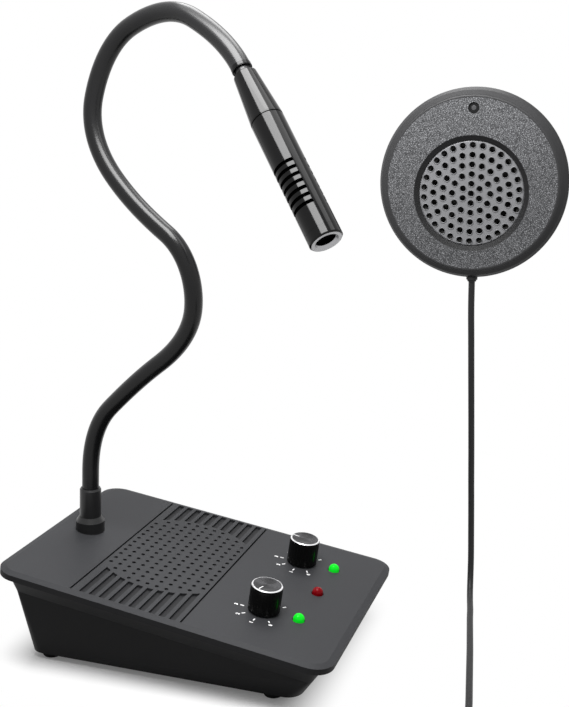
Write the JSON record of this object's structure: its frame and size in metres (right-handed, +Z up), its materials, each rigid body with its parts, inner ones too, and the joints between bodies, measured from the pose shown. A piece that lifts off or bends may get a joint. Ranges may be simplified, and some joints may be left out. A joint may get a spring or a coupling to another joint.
{
  "type": "teller window intercom",
  "caption": "Wedge-shaped counter console with a bending gooseneck microphone, two volume knobs and signal lamps, and a round corded outside speaker that sticks to the window.",
  "frame": {"origin": "middle of the footprint of the console and the outside speaker, on the counter", "axes": "+X along the console towards its low end with the controls, +Y from the console towards the window glass, +Z up"},
  "size_m": [0.2881, 0.2367, 0.3206],
  "materials": {
    "charcoal_plastic": "fine moulded texture, matt",
    "black_plastic": "fine moulded texture, matt",
    "gloss_black": "glossy black lacquer",
    "black_collar": "satin",
    "knob_plastic": "fluted, semi-gloss",
    "knob_disc": "spun face with a bright cut rim",
    "neck_rubber": "satin sleeve",
    "foot_rubber": "matt",
    "cord_rubber": "satin jacket",
    "steel": "plain",
    "brass": "plain",
    "board": "lacquered circuit board",
    "cone_paper": "paper cone",
    "capacitor": "sleeved cans",
    "heatsink": "extruded fins",
    "ring_grey": "satin",
    "mesh_black": "fine holes",
    "grain_grey": "leather grain",
    "grille_silver": "silver lacquer",
    "pad_foam": "foam tape",
    "green_lens": "tinted clear resin",
    "red_lens": "tinted clear resin"
  },
  "bodies": {
    "root": {"top_cover": "charcoal_plastic", "bottom_case": "black_plastic", "rubber_feet": "foot_rubber", "case_screws": "steel", "ballast_plate": "steel", "main_board": "board", "amplifier_heatsink": "heatsink", "capacitors": "capacitor", "control_board": "board", "speaker_frame": "steel", "speaker_cone": "cone_paper", "speaker_magnet": "steel", "speaker_screws": "steel", "inner_pot_body": "steel", "outer_pot_body": "steel", "pot_nuts": "steel", "inner_signal_lamp": "green_lens", "power_lamp": "red_lens", "outer_signal_lamp": "green_lens", "power_inlet": "black_plastic", "speaker_socket": "black_plastic", "recorder_socket": "black_plastic", "switch_housing": "steel", "neck_collar": "black_collar", "neck_ferrule": "black_collar", "neck_nut": "brass", "neck_root": "neck_rubber", "window_case": "black_plastic", "window_face": "grain_grey", "window_grille": "grille_silver", "window_speaker": "steel", "window_mic": "mesh_black", "window_board": "board", "adhesive_pad": "pad_foam", "cord_gland": "cord_rubber", "window_cord": "cord_rubber", "cord_coil": "cord_rubber", "cord_plug": "black_plastic"},
    "inner_volume": {"inner_pot_shaft": "steel", "inner_knob": "knob_plastic", "inner_knob_cap": "knob_disc"},
    "outer_volume": {"outer_pot_shaft": "steel", "outer_knob": "knob_plastic", "outer_knob_cap": "knob_disc"},
    "power_slider": {"switch_slider": "black_plastic"},
    "neck_1": {"neck_link_1": "neck_rubber"},
    "neck_2": {"neck_link_2": "neck_rubber"},
    "neck_3": {"neck_link_3": "neck_rubber"},
    "neck_4": {"neck_link_4": "neck_rubber"},
    "neck_5": {"neck_link_5": "neck_rubber"},
    "neck_6": {"neck_link_6": "neck_rubber"},
    "neck_7": {"neck_link_7": "neck_rubber"},
    "neck_8": {"neck_link_8": "neck_rubber"},
    "neck_9": {"neck_link_9": "neck_rubber", "mic_barrel": "gloss_black", "mic_front_ring": "ring_grey", "mic_mesh": "mesh_black", "mic_capsule": "steel"}
  },
  "joints": [
    {"name": "inner_volume_turn", "type": "hinge", "parent": "root", "child": "inner_volume", "pos_m": [0.00272, -0.04507, 0.03338], "axis": [0.1449, 0, 0.9895], "range_deg": [-205.2, 52]},
    {"name": "outer_volume_turn", "type": "hinge", "parent": "root", "child": "outer_volume", "pos_m": [0.00272, 0.01494, 0.03338], "axis": [0.1449, 0, 0.9895], "range_deg": [-131.2, 126]},
    {"name": "power_switch_slide", "type": "slide", "parent": "root", "child": "power_slider", "axis": [0, 1, 0], "range_m": [0, 0.0022]},
    {"name": "neck_bend_1", "type": "hinge", "parent": "root", "child": "neck_1", "pos_m": [-0.10634, -0.01507, 0.08316], "axis": [0, 1, 0], "range_deg": [-25, 12]},
    {"name": "neck_bend_2", "type": "hinge", "parent": "neck_1", "child": "neck_2", "pos_m": [-0.09183, -0.01705, 0.12021], "axis": [0.7017, 0.0415, -0.7113], "range_deg": [-25, 25]},
    {"name": "neck_bend_3", "type": "hinge", "parent": "neck_2", "child": "neck_3", "pos_m": [-0.06122, -0.02133, 0.14711], "axis": [0.047, 0.9934, 0.1044], "range_deg": [-25, 12]},
    {"name": "neck_bend_4", "type": "hinge", "parent": "neck_3", "child": "neck_4", "pos_m": [-0.03838, -0.02933, 0.17889], "axis": [0.9661, -0.0894, -0.242], "range_deg": [-25, 25]},
    {"name": "neck_bend_5", "type": "hinge", "parent": "neck_4", "child": "neck_5", "pos_m": [-0.04989, -0.03369, 0.21454], "axis": [0.2425, 0.9681, 0.0631], "range_deg": [-25, 12]},
    {"name": "neck_bend_6", "type": "hinge", "parent": "neck_5", "child": "neck_6", "pos_m": [-0.08053, -0.02673, 0.24066], "axis": [0.7095, -0.2283, 0.6667], "range_deg": [-25, 25]},
    {"name": "neck_bend_7", "type": "hinge", "parent": "neck_6", "child": "neck_7", "pos_m": [-0.09214, -0.02156, 0.27772], "axis": [0.3198, 0.9393, -0.1243], "range_deg": [-25, 12]},
    {"name": "neck_bend_8", "type": "hinge", "parent": "neck_7", "child": "neck_8", "pos_m": [-0.06984, -0.02461, 0.30987], "axis": [0.3717, -0.2522, -0.8935], "range_deg": [-25, 25]},
    {"name": "neck_bend_9", "type": "hinge", "parent": "neck_8", "child": "neck_9", "pos_m": [-0.0325, -0.03685, 0.31231], "axis": [0.3244, 0.936, -0.1365], "range_deg": [-25, 12]}
  ]
}
